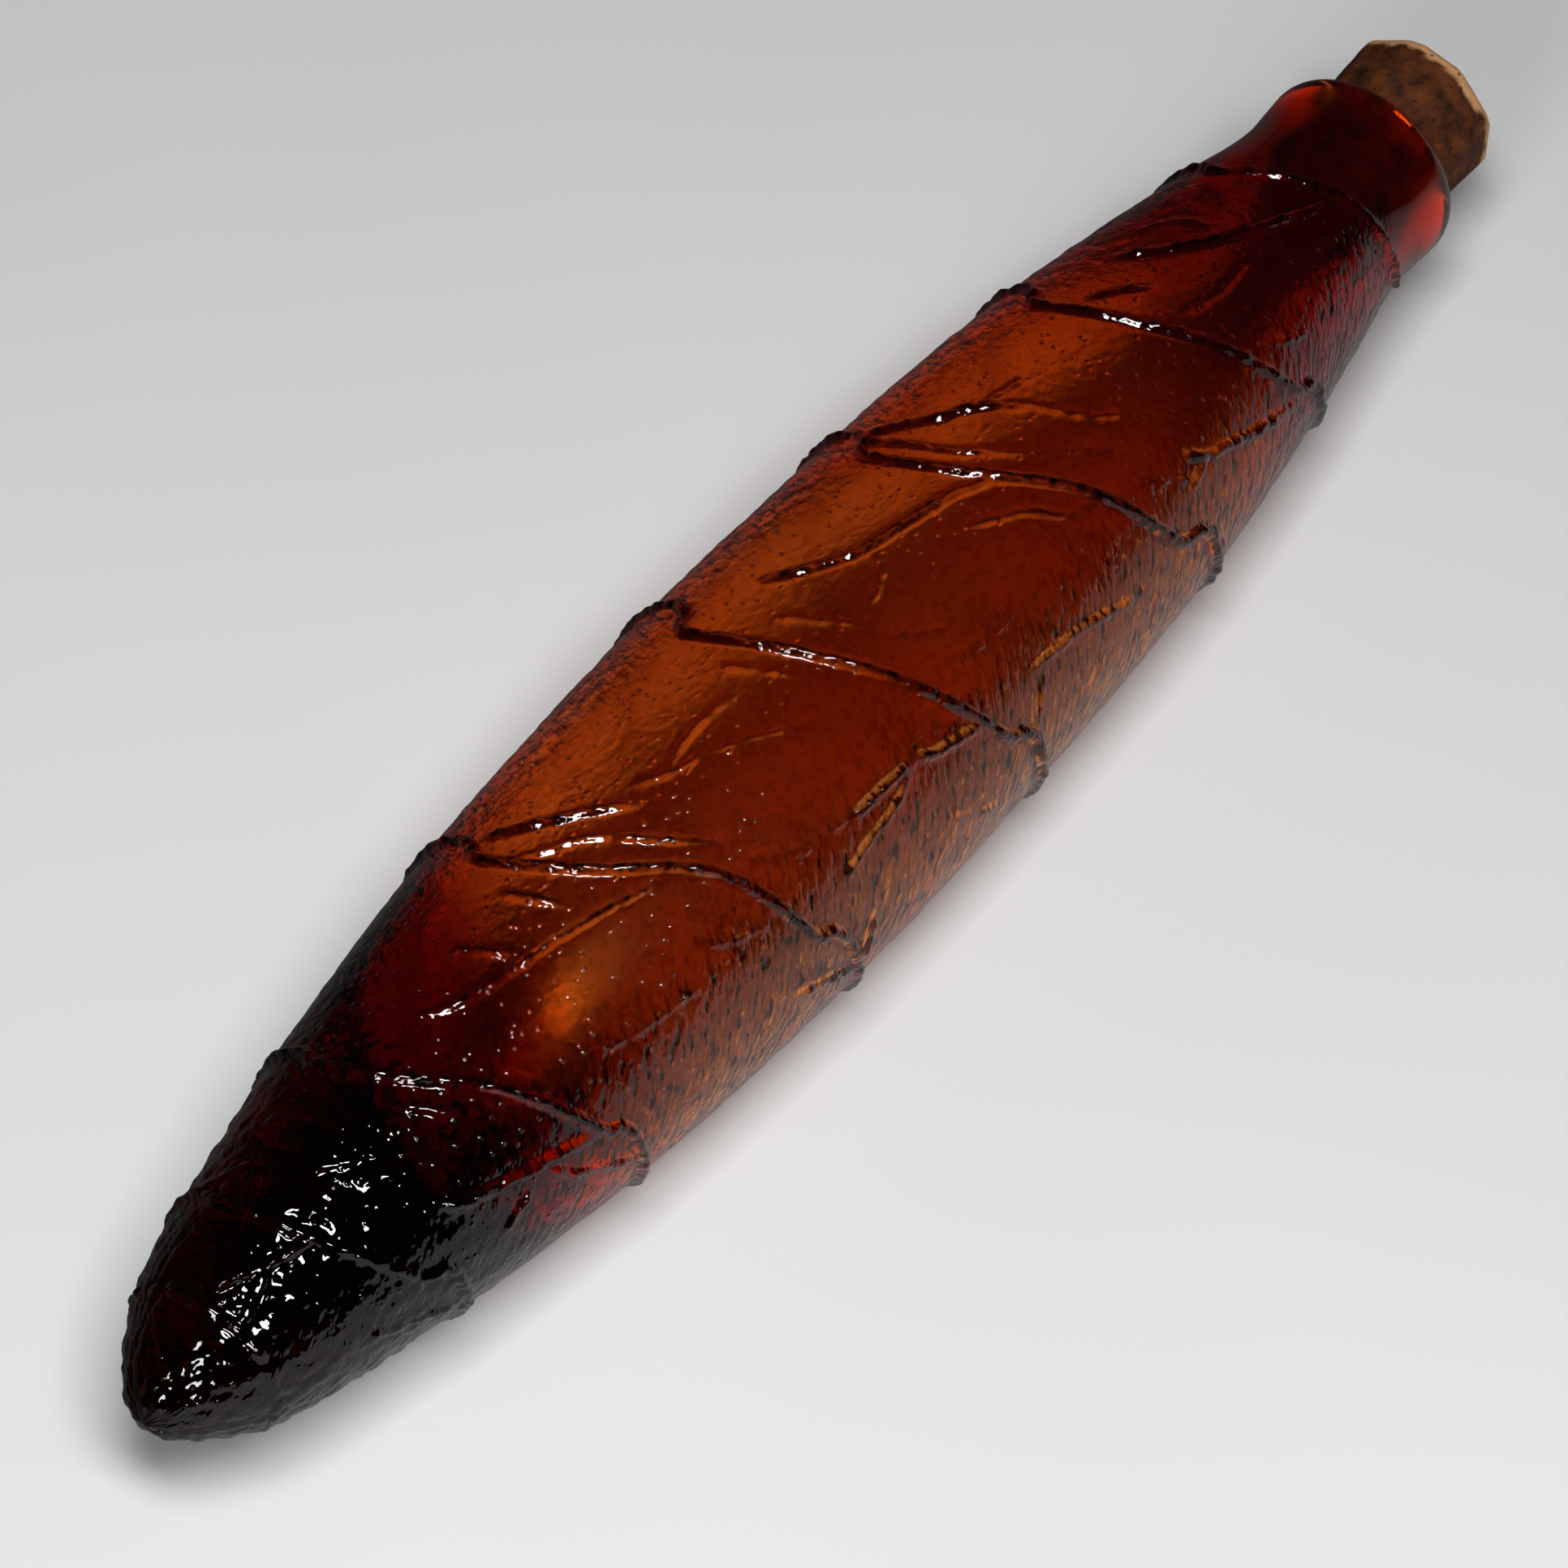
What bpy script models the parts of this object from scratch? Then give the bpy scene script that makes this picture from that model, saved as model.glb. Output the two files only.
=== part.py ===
"""Cigar-shaped amber glass bottle lying on its side, closed by a tapered, whittled cork.

Frame: metres, +Z up. The bottle's axis runs along X with the mouth at +X, and the origin is the
middle of the whole object's length and width, on the surface that it lies on. The sizes below are
in millimetres and are turned into metres where a mesh is made.
"""
import math

import bmesh
import bpy
from mathutils import Matrix, Vector

MM = 0.001
MERGE_M = 0.00001

# Driving dimensions, millimetres
GLASS_LENGTH = 135.0
BODY_RADIUS = 13.6
LIP_RADIUS = 7.6
BORE_RADIUS = 5.4
LIP_ROUNDING = 1.6
CORK_STANDS_OUT = 7.0
CORK_SEAT_DEPTH = 9.0
CORK_MOUTH_RADIUS = 5.05
CORK_TAPER = 0.04          # radius gained for each millimetre outwards
CORK_EDGE_CHAMFER = 0.7

# Facets around the glass, an even number so that one flat facet lies on the table
FACETS = 48
HALF_FACET = math.pi / FACETS
CORK_FACETS = 8

TOTAL_LENGTH = GLASS_LENGTH + CORK_STANDS_OUT
TIP_X = -TOTAL_LENGTH / 2
MOUTH_X = TIP_X + GLASS_LENGTH
AXIS_HEIGHT = BODY_RADIUS * math.cos(HALF_FACET)

# Outer outline: distance from the tip, radius. The belly is level from the last point of the nose
# to the first of the shoulder, so that the lowest facet is a real flat face.
NOSE = [(0.7, 1.75), (2.0, 3.1), (4.2, 4.9), (7.0, 6.35), (12.5, 7.9), (21.0, 9.65),
        (31.0, 11.3), (44.0, 12.8), (60.0, BODY_RADIUS)]
SHOULDER = [(74.0, BODY_RADIUS), (90.0, 12.85), (103.0, 11.75), (113.0, 10.3), (121.0, 8.85),
            (126.5, 7.7), (129.5, 7.35), (131.8, LIP_RADIUS)]

# Inner outline, from the solid glass of the tip to the foot of the straight neck bore
CAVITY_END = 15.5
CAVITY = [(16.2, 1.9), (18.2, 3.9), (22.5, 6.2), (29.0, 8.4), (37.0, 10.0), (47.0, 11.0),
          (61.0, 11.5), (76.0, 11.4), (92.0, 10.7), (106.0, 9.1), (115.0, 7.3), (121.5, 5.7)]
BORE_FOOT = 124.0


def smooth_between(points, steps):
    """Points on a Catmull-Rom curve through the given ones, with steps per stretch."""
    ends = [points[0]] + list(points) + [points[-1]]
    curve = []
    for i in range(1, len(ends) - 2):
        p0, p1, p2, p3 = (Vector(p) for p in ends[i - 1:i + 3])
        for k in range(steps):
            t = k / steps
            curve.append(0.5 * ((2 * p1) + (p2 - p0) * t + (2 * p0 - 5 * p1 + 4 * p2 - p3) * t ** 2
                                + (3 * p1 - p0 - 3 * p2 + p3) * t ** 3))
    curve.append(Vector(points[-1]))
    return [(p.x, p.y) for p in curve]


def lip_rounding(steps=5):
    """Quarter turn from the widest ring of the lip to the flat rim of the mouth."""
    centre_x, centre_r = GLASS_LENGTH - LIP_ROUNDING, LIP_RADIUS - LIP_ROUNDING
    turns = [math.pi / 2 * k / steps for k in range(steps + 1)]
    return [(centre_x + LIP_ROUNDING * math.sin(a), centre_r + LIP_ROUNDING * math.cos(a))
            for a in turns]


def glass_profile():
    """Whole section of the glass, up the inside, over the lip and down the outside to the tip."""
    inside = [(CAVITY_END, 0.0)] + smooth_between(CAVITY, 1) + [(BORE_FOOT, BORE_RADIUS)]
    outside = [(0.0, 0.0)] + smooth_between(NOSE, 2) + smooth_between(SHOULDER, 2) + lip_rounding()
    return inside + [(GLASS_LENGTH, BORE_RADIUS)] + outside[::-1]


def make_material(name, colour, roughness, metallic=0.0, transmission=0.0):
    """Principled material in linear colour."""
    material = bpy.data.materials.new(name)
    material.use_nodes = True
    shader = material.node_tree.nodes["Principled BSDF"]
    shader.inputs["Base Color"].default_value = (*colour, 1.0)
    shader.inputs["Roughness"].default_value = roughness
    shader.inputs["Metallic"].default_value = metallic
    shader.inputs["Transmission Weight"].default_value = transmission
    material.diffuse_color = (*colour, 1.0)
    return material


def add_object(name, mesh, collection, parent, material):
    """Put a mesh into the model as one named object."""
    item = bpy.data.objects.new(name, mesh)
    item.data.materials.append(material)
    item.parent = parent
    collection.objects.link(item)
    return item


def make_bottle(collection, parent):
    """Glass turned about Z, then laid down so that its mouth faces +X."""
    mesh = bpy.data.meshes.new("bottle")
    shape = bmesh.new()
    across = Vector((math.cos(HALF_FACET), math.sin(HALF_FACET), 0))
    corners = [shape.verts.new((across * r + Vector((0, 0, x))) * MM) for x, r in glass_profile()]
    for first, second in zip(corners, corners[1:]):
        shape.edges.new((first, second))
    shape.to_mesh(mesh)
    shape.free()
    bottle = add_object("bottle", mesh, collection, parent,
                        make_material("amber_glass", (0.25, 0.045, 0.006), 0.06, transmission=0.9))
    turn = bottle.modifiers.new("turn", "SCREW")
    turn.axis = "Z"
    turn.steps = FACETS
    turn.render_steps = FACETS
    turn.use_merge_vertices = True
    turn.merge_threshold = MERGE_M
    turn.use_smooth_shade = True
    bottle.rotation_euler = (0, math.pi / 2, 0)
    bottle.location = (TIP_X * MM, 0, AXIS_HEIGHT * MM)
    return bottle


def make_cork(collection, slide):
    """Eight-sided stopper, wider outwards, with its outer edge pared away."""
    inner_radius = CORK_MOUTH_RADIUS - CORK_TAPER * CORK_SEAT_DEPTH
    outer_radius = CORK_MOUTH_RADIUS + CORK_TAPER * CORK_STANDS_OUT
    length = CORK_SEAT_DEPTH + CORK_STANDS_OUT
    mesh = bpy.data.meshes.new("cork")
    shape = bmesh.new()
    lay_down = Matrix.Rotation(math.pi / 2, 4, "Y")
    to_seat = Matrix.Translation(Vector((length / 2 - CORK_SEAT_DEPTH, 0, 0)) * MM)
    bmesh.ops.create_cone(shape, cap_ends=True, cap_tris=False, segments=CORK_FACETS,
                          radius1=inner_radius * MM, radius2=outer_radius * MM,
                          depth=length * MM, matrix=to_seat @ lay_down)
    outer_edges = [edge for edge in shape.edges
                   if all(corner.co.x > (CORK_STANDS_OUT - 0.1) * MM for corner in edge.verts)]
    bmesh.ops.bevel(shape, geom=outer_edges, offset=CORK_EDGE_CHAMFER * MM, affect="EDGES",
                    segments=1, profile=0.5, material=-1)
    shape.to_mesh(mesh)
    shape.free()
    return add_object("cork", mesh, collection, slide,
                      make_material("natural_cork", (0.16, 0.07, 0.03), 0.85))


def main():
    """Clear the scene's objects and build the bottle and its stopper."""
    for item in list(bpy.data.objects):
        bpy.data.objects.remove(item, do_unlink=True)
    collection = bpy.data.collections.new("cigar_bottle")
    bpy.context.scene.collection.children.link(collection)

    frame = bpy.data.objects.new("bottle_frame", None)
    collection.objects.link(frame)
    slide = bpy.data.objects.new("cork_slide", None)
    slide.parent = frame
    slide.location = Vector((MOUTH_X, 0, AXIS_HEIGHT)) * MM
    collection.objects.link(slide)

    make_bottle(collection, frame)
    make_cork(collection, slide)


main()
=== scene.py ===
"""Looks of a cigar-shaped bottle of mould-blown amber glass, closed by a whittled cork.

The bottle lies on its side on pale card, with its mouth and cork at +X. Along the bottle, places
are given in millimetres from the tip. Round it, they are given in degrees from the top, growing
towards -Y, which is the side that faces the camera.
"""
import logging
import math
from dataclasses import dataclass, field
from enum import Enum

import bmesh
import bpy
import numpy as np
from mathutils import Matrix, Vector, noise


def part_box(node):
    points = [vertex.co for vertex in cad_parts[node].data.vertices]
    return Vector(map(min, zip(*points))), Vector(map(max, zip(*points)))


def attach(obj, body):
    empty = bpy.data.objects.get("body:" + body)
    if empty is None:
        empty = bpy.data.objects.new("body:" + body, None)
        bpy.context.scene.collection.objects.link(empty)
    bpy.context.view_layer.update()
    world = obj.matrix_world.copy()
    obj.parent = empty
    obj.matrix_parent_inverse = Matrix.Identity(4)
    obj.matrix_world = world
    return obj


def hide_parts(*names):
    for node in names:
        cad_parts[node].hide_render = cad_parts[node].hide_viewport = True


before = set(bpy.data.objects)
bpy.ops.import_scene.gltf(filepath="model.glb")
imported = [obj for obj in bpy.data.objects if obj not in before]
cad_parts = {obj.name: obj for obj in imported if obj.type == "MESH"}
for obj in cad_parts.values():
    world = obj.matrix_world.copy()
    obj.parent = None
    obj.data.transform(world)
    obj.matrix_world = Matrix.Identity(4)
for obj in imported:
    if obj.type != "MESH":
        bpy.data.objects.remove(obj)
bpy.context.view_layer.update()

MM = 0.001
LOG = logging.getLogger("cigar_bottle")


def linear(hex_colour: str) -> tuple[float, float, float, float]:
    """Turn an sRGB colour into linear light.

    Args:
        hex_colour: six hexadecimal digits, with or without a leading hash.

    Returns:
        Red, green, blue and an alpha of one, in linear light.
    """
    digits = hex_colour.lstrip("#")
    parts = [int(digits[i:i + 2], 16) / 255 for i in (0, 2, 4)]
    red, green, blue = [c / 12.92 if c <= 0.04045 else ((c + 0.055) / 1.055) ** 2.4 for c in parts]
    return red, green, blue, 1.0


def add_node(tree: bpy.types.NodeTree, kind: str, inputs: dict | None = None,
             **settings: object) -> bpy.types.Node:
    """Add one shader node with its settings and links.

    Args:
        tree: the node tree that the node joins.
        kind: the node's type, without the leading ShaderNode.
        inputs: input name or number to a value, or to the output socket that feeds it.
        **settings: properties set on the node itself.

    Returns:
        The new node.
    """
    node = tree.nodes.new("ShaderNode" + kind)
    for name, value in settings.items():
        setattr(node, name, value)
    for name, value in (inputs or {}).items():
        if isinstance(value, bpy.types.NodeSocket):
            tree.links.new(value, node.inputs[name])
        else:
            node.inputs[name].default_value = value
    return node


def new_material(name: str) -> tuple[bpy.types.Material, bpy.types.NodeTree, bpy.types.Node]:
    """Make a material with nothing in it but its output.

    Args:
        name: the material's name.

    Returns:
        The material, its node tree and its output node.
    """
    material = bpy.data.materials.new(name)
    material.use_nodes = True
    material.node_tree.nodes.clear()
    return material, material.node_tree, add_node(material.node_tree, "OutputMaterial")


def smooth_route(points: list[tuple[float, float]], steps: int) -> np.ndarray:
    """Round off a route with a Catmull-Rom curve.

    Args:
        points: the corners of the route.
        steps: how many stretches each pair of corners gets.

    Returns:
        One row for each point of the curve, the corners among them.
    """
    corners = np.array(points, float)
    padded = np.vstack([2 * corners[:1] - corners[1:2], corners, 2 * corners[-1:] - corners[-2:-1]])
    t = np.arange(steps)[:, None] / steps
    rows = []
    for p0, p1, p2, p3 in zip(padded, padded[1:], padded[2:], padded[3:]):
        rows.append(0.5 * (2 * p1 + (p2 - p0) * t + (2 * p0 - 5 * p1 + 4 * p2 - p3) * t ** 2
                           + (3 * p1 - p0 - 3 * p2 + p3) * t ** 3))
    return np.vstack(rows + [corners[-1:]])


def ramp(value: np.ndarray, low: float, high: float) -> np.ndarray:
    """Rise smoothly from 0 at low to 1 at high, or fall where high is the smaller."""
    t = np.clip((value - low) / (high - low), 0, 1)
    return t * t * (3 - 2 * t)


@dataclass(frozen=True)
class LineShape:
    """Section of a raised line: height and half width in millimetres, and how flat its top is."""

    height: float
    half_width: float
    flatness: float
    beading: float


class Line(Enum):
    """Kinds of raised line in the leaf relief."""

    WRAP = LineShape(0.43, 0.36, 4.0, 0.50)
    MIDRIB = LineShape(0.38, 0.35, 4.0, 0.75)
    VEIN = LineShape(0.26, 0.27, 3.0, 0.90)
    HAIR = LineShape(0.14, 0.25, 2.0, 1.40)


@dataclass(frozen=True)
class Ridge:
    """One raised line on the glass, along a route of (millimetres from the tip, degrees)."""

    kind: Line
    route: tuple[tuple[float, float], ...]
    open_ends: bool = True

    def heights(self, along: np.ndarray, angle: np.ndarray, radius: np.ndarray,
                spread: float = 1.0) -> np.ndarray:
        """Work out how far this line raises each point of the glass.

        Args:
            along: each point's distance from the tip, in millimetres.
            angle: each point's angle from the top, in degrees.
            radius: the glass's radius at each point, in millimetres.
            spread: how much wider than real the line is taken to be.

        Returns:
            The height of the line at each point, in millimetres.
        """
        shape = self.kind.value
        width = shape.half_width * spread
        curve = smooth_route(list(self.route), 4)
        raised = np.zeros(len(along))
        count, reach = len(curve) - 1, 2.2 * width
        for k, (start, end) in enumerate(zip(curve, curve[1:])):
            low, high = sorted((start[0], end[0]))
            near = np.flatnonzero((along > low - reach) & (along < high + reach))
            middle = (start[1] + end[1]) / 2
            turn = (angle[near] - middle + 180) % 360 - 180
            arc = np.radians(1) * radius[near]
            px, py = along[near] - start[0], (turn + middle - start[1]) * arc
            sx, sy = end[0] - start[0], (end[1] - start[1]) * arc
            t = np.clip((px * sx + py * sy) / (sx * sx + sy * sy + 1e-9), 0, 1)
            gap = np.hypot(px - t * sx, py - t * sy)
            share = (k + t) / count
            fade = 1.0
            if self.open_ends:
                fade = np.minimum(1, 0.2 + 6 * share) * np.minimum(1, 0.2 + 4 * (1 - share))
            raised[near] = np.maximum(raised[near], shape.height * fade
                                      * np.exp(-(gap / width) ** shape.flatness))
        return raised


@dataclass
class LeafRelief:
    """The tobacco leaf moulded into the glass: wrapper edge, ribs, veins and pebbled skin."""

    # Where the wrapper's edge crosses these angles, in millimetres from the tip, turn by turn
    turn_angles: tuple[float, ...] = (-60, -25, 5, 35, 70, 100)
    turns: tuple[tuple[float, ...], ...] = (
        (12.6, 12.2, 12.6, 14.1, 17.3, 20.7),
        (23.8, 23.0, 24.6, 28.6, 32.6, 35.8),
        (42.0, 40.6, 43.1, 49.3, 52.7, 56.8),
        (65.7, 62.8, 64.9, 68.9, 73.5, 77.4),
        (85.0, 82.4, 84.5, 89.8, 94.3, 99.1),
        (103.4, 101.1, 102.9, 106.6, 110.8, 114.5),
        (121.2, 120.7, 122.9, 125.2, 126.2, 127.0),
    )
    cap_edge: float = 6.1
    pebble_height: float = 0.19
    pebble_size: float = 1.3
    wrinkle_height: float = 0.08
    wrinkle_size: tuple[float, float] = (1.9, 0.8)
    swell_height: float = 0.045
    swell_size: float = 4.5
    bead_size: float = 0.9
    # The wrinkles' direction in degrees, on the skin unrolled at the body's mean radius
    lay_turn: float = 65.0
    lay_radius: float = 12.5
    # Painted shade: the glass's tint goes from amber to near black between these distances from the
    # tip, and reaches further along the far side, standing in for light lost in thick glass
    black_tip: tuple[float, float] = (36.0, 20.0)
    black_far_reach: float = 17.0
    # How deep the neck's painted shade is in front, and how much deeper behind
    neck_depth: tuple[float, float] = (0.62, 0.30)
    # How much more the fine pimples and ripples stand out ahead of the tip than elsewhere
    coarse_share: float = 0.6
    ridges: list[Ridge] = field(default_factory=list)

    def __post_init__(self) -> None:
        """Lay out every raised line."""
        self.ridges = [self.wrapper_edge(), self.cap_ring(), *self.front_lines()]
        self.ridges += self.back_lines()

    def wrapper_edge(self) -> Ridge:
        """Chain the turns of the wrapper's edge into one spiral from tip to neck."""
        route = [(7.0, -215.0), (9.5, -130.0)]
        for count, turn in enumerate(self.turns):
            route += [(x, angle + 360.0 * count) for x, angle in zip(turn, self.turn_angles)]
        return Ridge(Line.WRAP, tuple(route), open_ends=False)

    def cap_ring(self) -> Ridge:
        """Edge of the small leaf cap round the tip."""
        route = tuple((self.cap_edge + 0.25 * math.sin(math.radians(2 * a)), float(a))
                      for a in range(0, 361, 30))
        return Ridge(Line.VEIN, route, open_ends=False)

    def front_lines(self) -> list[Ridge]:
        """Ribs and veins of the side that faces up and forwards.

        Returns:
            One ridge for each rib, vein and hairline, from the tip to the neck.
        """
        ribs = [
            ((42.2, -31), (43.5, -22), (45.3, -12), (47.0, -5), (49.2, 4)),
            ((66.2, 52.5), (68.0, 56.5), (72.4, 61.0)),
            ((59.5, 51.5), (62.5, 51.7), (66.2, 52.5)),
            ((20.8, 50), (22.0, 56), (25.0, 61), (28.0, 65), (32.4, 71)),
            ((98.0, 49), (99.9, 56.4), (102.4, 60.5), (105.0, 66), (110.6, 76)),
            ((68.9, -18), (70.2, -12.3), (72.0, -6.5), (74.6, -0.7), (78.5, 2.8),
             (83.2, 8), (86.3, 15)),
            ((7.3, 2), (8.5, 8), (10.3, 17)), ((6.8, 28), (8.5, 22), (10.3, 17)),
            ((10.3, 17), (11.5, 20), (13.2, 23)),
            ((108.2, -19), (109.7, -10), (111.3, -3), (115.2, 8.6), (120.2, 20.3), (123.8, 28.5)),
            ((84.3, -37), (86.0, -25), (87.7, -15.8), (89.0, -11.7), (90.4, -5.3), (92.0, 3)),
        ]
        veins = [
            ((83.8, -36), (84.2, -23), (84.9, -10), (85.6, -2.4), (86.7, 4), (88.6, 14)),
            ((41.5, -14), (43.1, -6.5), (45.0, -1), (47.0, 10), (48.4, 18), (51.0, 30)),
            ((28.0, -11), (29.0, -2), (31.0, 5), (34.0, 10), (37.0, 13), (40.3, 17),
             (44.0, 22), (48.2, 28.5)),
            ((33.7, -9), (34.5, -2), (35.6, 7)), ((38.8, -9), (39.5, 0), (40.4, 9)),
            ((23.3, 14), (24.3, 22), (25.2, 31)), ((16.6, 3), (18.3, 12), (20.2, 18)),
            ((17.9, 20), (18.8, 25), (20.2, 33)), ((13.4, 4), (14.5, 13), (15.0, 26)),
            ((80.4, 15.5), (83.2, 22), (85.2, 27), (86.5, 33.5), (88.2, 38), (90.3, 39.8)),
            ((77.7, 61), (80.4, 62.3), (84.0, 65), (87.0, 69.8), (90.5, 74)),
            ((56.4, 64), (59.8, 60.5), (62.5, 58.7), (65.3, 54)),
            ((78.4, 66), (77.3, 73), (76.7, 80), (77.2, 96)),
            ((53.7, 71.5), (55.0, 78.5), (56.2, 88), (57.0, 99)), ((58.3, 84), (57.0, 99)),
            ((97.4, 77), (98.8, 84), (99.4, 97)), ((50.0, 85), (54.2, 93.5), (57.0, 101)),
            ((12.5, 78), (14.5, 88), (17.5, 96), (20.9, 104)), ((23.3, 80), (26.6, 71)),
            ((12.8, -52), (13.6, -36), (15.6, -22)), ((97.3, 60.5), (99.7, 57)),
            ((102.8, -12), (105.0, -5.8), (106.8, 2)), ((91.0, -7.2), (93.6, -4.5)),
            ((28.2, 68), (29.8, 78), (32.4, 86), (36.0, 99)), ((22.8, -14), (24.0, -4)),
        ]
        hairs = [
            ((50.0, -1), (52.5, 5), (55.6, 10), (59.0, 17.5), (62.4, 28)),
            ((50.2, 37), (53.0, 42), (55.0, 48), (58.4, 50), (60.0, 51.5)),
            ((88.6, 14), (91.4, 24), (94.0, 33)), ((92.0, 3), (94.0, 18), (97.0, 29)),
            ((74.9, 2.8), (73.5, 9.8), (71.0, 13)), ((52.2, 5), (55.5, 1), (60.5, 3)),
            ((113.4, -18), (114.4, -10), (114.7, -1)), ((110.2, 47), (113.0, 55), (114.4, 58)),
            ((111.5, -24), (113.6, -17)), ((72.0, 38), (75.0, 43), (79.0, 44)),
            ((61.2, -6), (62.2, 2), (63.6, 12)), ((66.5, -6), (68.0, 5), (70.5, 19)),
            ((69.8, 20), (72.0, 28), (74.5, 34)), ((66.5, 76), (69.5, 85), (73.0, 96)),
            ((45.0, 45), (47.0, 52), (50.5, 57)), ((34.0, 46), (38.0, 52), (44.0, 56)),
            ((106.5, 17), (110.0, 21), (114.0, 20)), ((92.5, 44), (96.0, 52), (98.0, 60)),
        ]
        return ([Ridge(Line.MIDRIB, route) for route in ribs]
                + [Ridge(Line.VEIN, route) for route in veins]
                + [Ridge(Line.HAIR, route) for route in hairs])

    def back_lines(self) -> list[Ridge]:
        """Fans of ribs and veins on the far side and underneath, one fan below each turn.

        Returns:
            A rib and three side veins for each turn of the wrapper.
        """
        lines = []
        for turn in self.turns[:-1]:
            foot, lean = turn[-1] + 3.5, 1.0 + 0.02 * turn[0]
            rib = tuple((foot + lean * (k * 1.9), 128.0 + 27 * k - 3 * k * k) for k in range(5))
            lines.append(Ridge(Line.MIDRIB, rib))
            for k, (x, angle) in enumerate(rib[1:4]):
                side = 1 if k % 2 else -1
                lines.append(Ridge(Line.VEIN, ((x, angle), (x + 2.4 * side, angle + 14),
                                               (x + 3.6 * side, angle + 31))))
        return lines

    def lines(self, along: np.ndarray, angle: np.ndarray, radius: np.ndarray,
              beads: np.ndarray | float = 0.0, spread: float = 1.0) -> np.ndarray:
        """Combine every raised line.

        Args:
            along: each point's distance from the tip, in millimetres.
            angle: each point's angle from the top, in degrees.
            radius: the glass's radius at each point, in millimetres.
            beads: how far each point is up or down from the line's mean height, about -0.5 to 0.5.
            spread: how much wider than real the lines are taken to be.

        Returns:
            The height of the highest line at each point, in millimetres.
        """
        top = np.zeros(len(along))
        for ridge in self.ridges:
            raised = ridge.heights(along, angle, radius, spread)
            top = np.maximum(top, raised * (1 + ridge.kind.value.beading * beads))
        return top

    def lay(self, along: np.ndarray, angle: np.ndarray) -> tuple[np.ndarray, np.ndarray]:
        """Unroll the skin along and across its wrinkles.

        Args:
            along: each point's distance from the tip, in millimetres.
            angle: each point's angle from the top, in degrees.

        Returns:
            How far each point is along the wrinkles and across them, in millimetres.
        """
        arc = np.radians(angle) * self.lay_radius
        lean = math.radians(self.lay_turn)
        return (arc * math.sin(lean) - along * math.cos(lean),
                along * math.sin(lean) + arc * math.cos(lean))

    def tip_share(self, along: np.ndarray) -> np.ndarray:
        """Share of coarse pebbles, which cover the tip."""
        return ramp(along, 32, 16)

    def wrinkle_share(self, along: np.ndarray, angle: np.ndarray) -> np.ndarray:
        """Share of wrinkles, which cover both flanks and fade underneath."""
        return (ramp(np.abs(angle - 8), 24, 54) * ramp(np.abs(angle), 178, 160)
                * (1 - 0.4 * self.tip_share(along)))

    def depth_shade_share(self, along: np.ndarray, angle: np.ndarray) -> np.ndarray:
        """Share of painted shade: the near-black tip, the far side, and the thick glass of the
        neck.
        """
        far_side = self.black_far_reach * ramp(angle, -26, -58)
        front, behind = self.neck_depth
        neck = (front + behind * ramp(angle, -5, -45)) * ramp(along, 106, 126)
        return np.maximum(ramp(along - far_side, *self.black_tip), neck)

    def coarseness(self, along: np.ndarray) -> np.ndarray:
        """Weight of the skin's pimples and ripples, which stand proudest ahead of the tip."""
        return 1 + self.coarse_share * ramp(along, 62, 44) * ramp(along, 17, 27)

    def skin(self, places: np.ndarray, along: np.ndarray, angle: np.ndarray) -> np.ndarray:
        """Pebbles and ripples of the leaf's skin.

        Args:
            places: each point's position, in millimetres.
            along: each point's distance from the tip, in millimetres.
            angle: each point's angle from the top, in degrees.

        Returns:
            The height of the skin at each point, in millimetres.
        """
        tip_share, side_share = self.tip_share(along), self.wrinkle_share(along, angle)
        lengthwise, across = self.lay(along, angle)
        pebbles, ripples = np.zeros(len(along)), np.zeros(len(along))
        swell = np.zeros(len(along))
        long, wide = self.wrinkle_size
        for i, place in enumerate(places):
            spot = Vector(place)
            swell[i] = noise.noise(spot / self.swell_size)
            if tip_share[i] > 0:
                near = noise.voronoi(spot / self.pebble_size)[0]
                pebbles[i] = min(1.0, (near[1] - near[0]) * 1.9)
            if side_share[i] > 0:
                ripples[i] = noise.noise(Vector((lengthwise[i] / long, across[i] / wide, 7.3)))
        return (self.pebble_height * tip_share * pebbles + self.swell_height * swell
                + self.wrinkle_height * side_share * ripples)

    def heights(self, places: np.ndarray, along: np.ndarray, angle: np.ndarray,
                radius: np.ndarray) -> tuple[np.ndarray, np.ndarray]:
        """Add up the raised lines and the skin.

        Args:
            places: each point's position, in millimetres.
            along: each point's distance from the tip, in millimetres.
            angle: each point's angle from the top, in degrees.
            radius: the glass's radius at each point, in millimetres.

        Returns:
            The relief at each point, in millimetres above the plain glass, and the raised
            lines' share of it.
        """
        beads = np.array([noise.noise(Vector(place) / self.bead_size) for place in places])
        lines = self.lines(along, angle, radius, beads)
        skin = self.skin(places, along, angle) * (1 - 0.6 * np.minimum(1, lines / 0.25))
        return lines + skin, lines


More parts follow.
